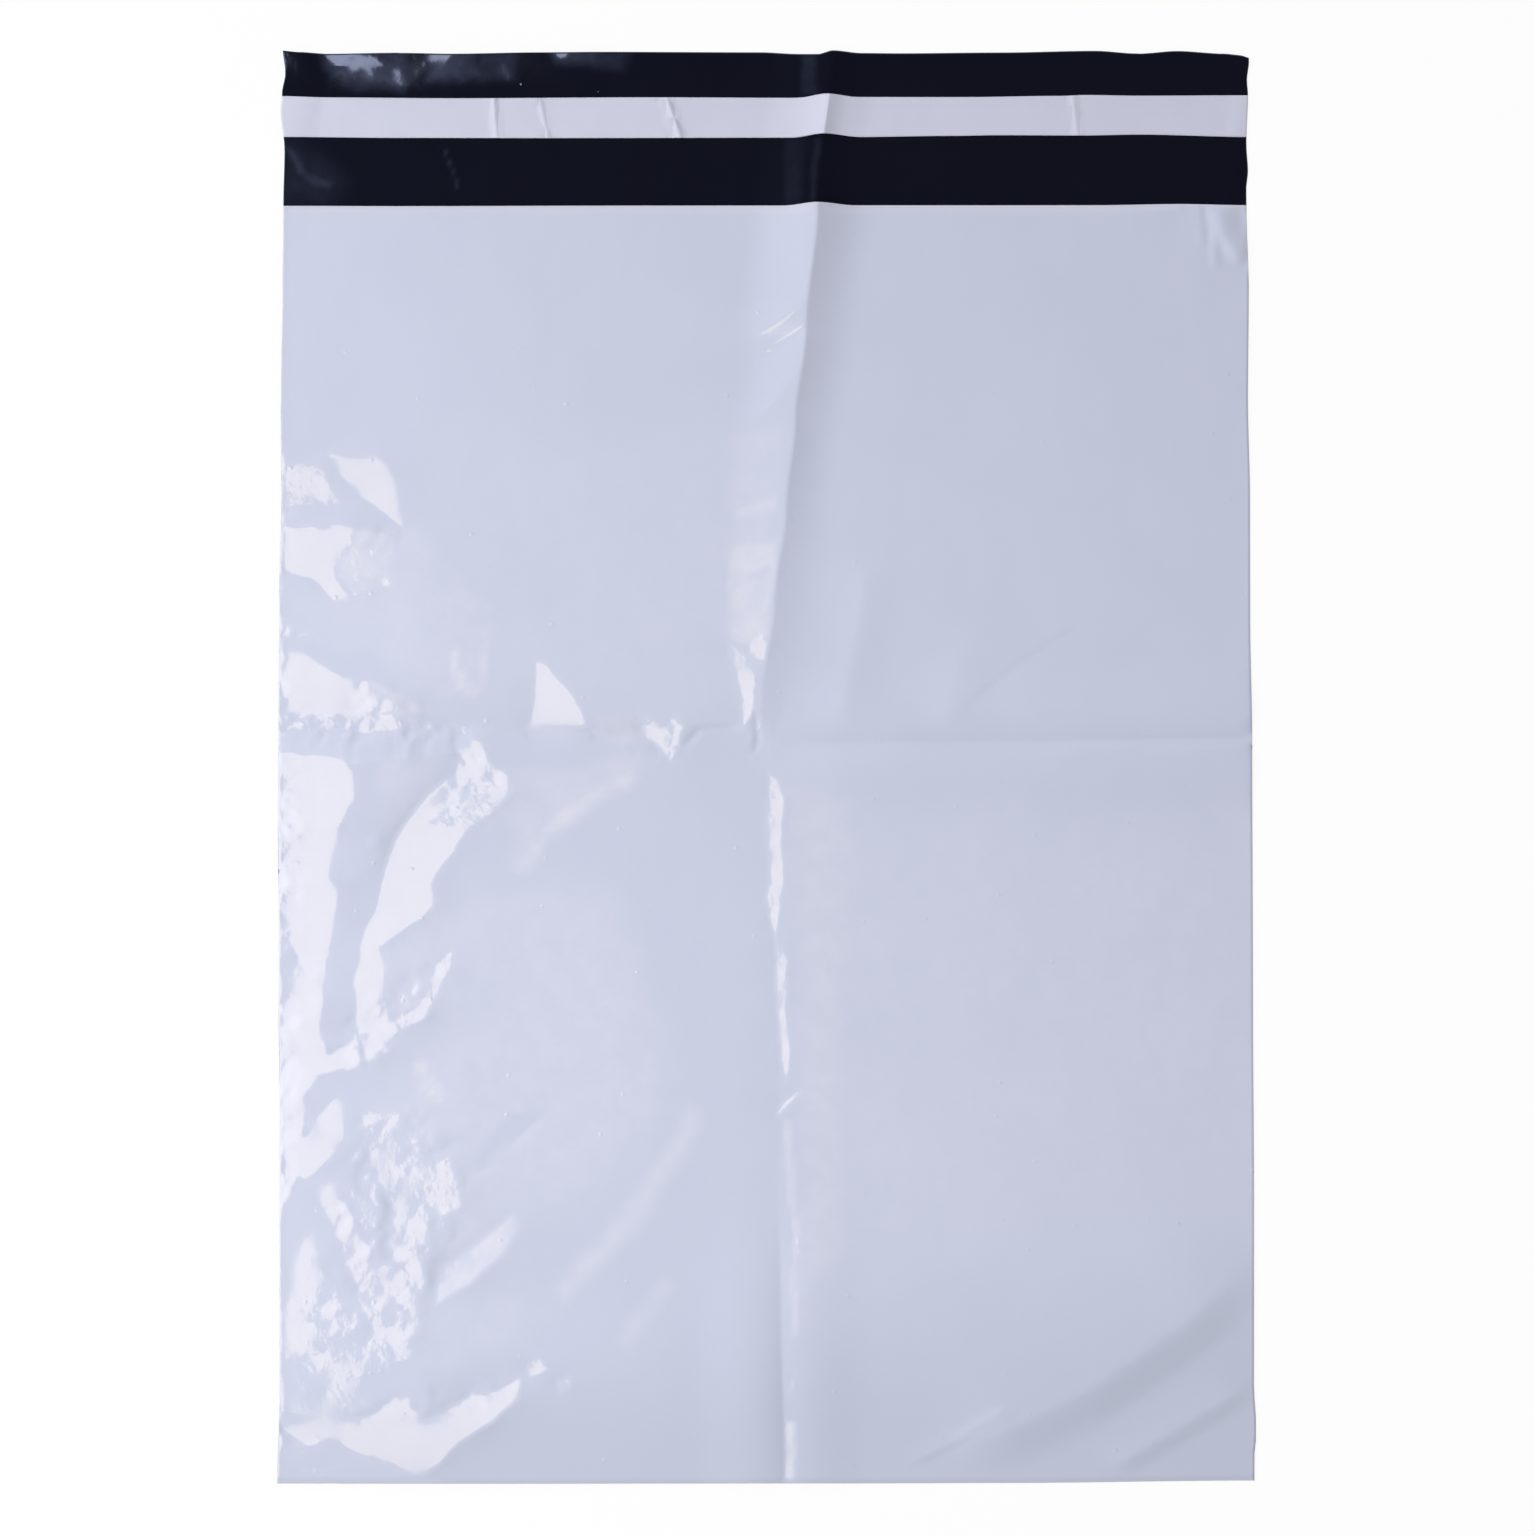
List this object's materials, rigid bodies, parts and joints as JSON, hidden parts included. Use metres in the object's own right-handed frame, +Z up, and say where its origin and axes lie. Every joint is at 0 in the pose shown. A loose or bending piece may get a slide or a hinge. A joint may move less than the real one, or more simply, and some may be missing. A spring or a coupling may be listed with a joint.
{
  "type": "poly mailer bag",
  "caption": "Empty film mailer bag lying flat: folded pouch with welded sides, open mouth and a closing lip with adhesive under a peel-off liner.",
  "frame": {"origin": "on the table, under the middle of the bag's box", "axes": "+X across the bag, +Y along it from the bottom fold to the closing lip, +Z up, out of the front panel"},
  "size_m": [0.325, 0.476, 0.0116],
  "materials": {
    "film": "glossy coextruded polyethylene film, pale blue-grey outside and black inside",
    "adhesive": "clear, faintly yellow hot-melt adhesive",
    "liner": "satin siliconised release film, pale grey"
  },
  "bodies": {
    "root": {"film_bag": "film", "adhesive_strip": "adhesive", "release_liner": "liner"}
  },
  "joints": []
}
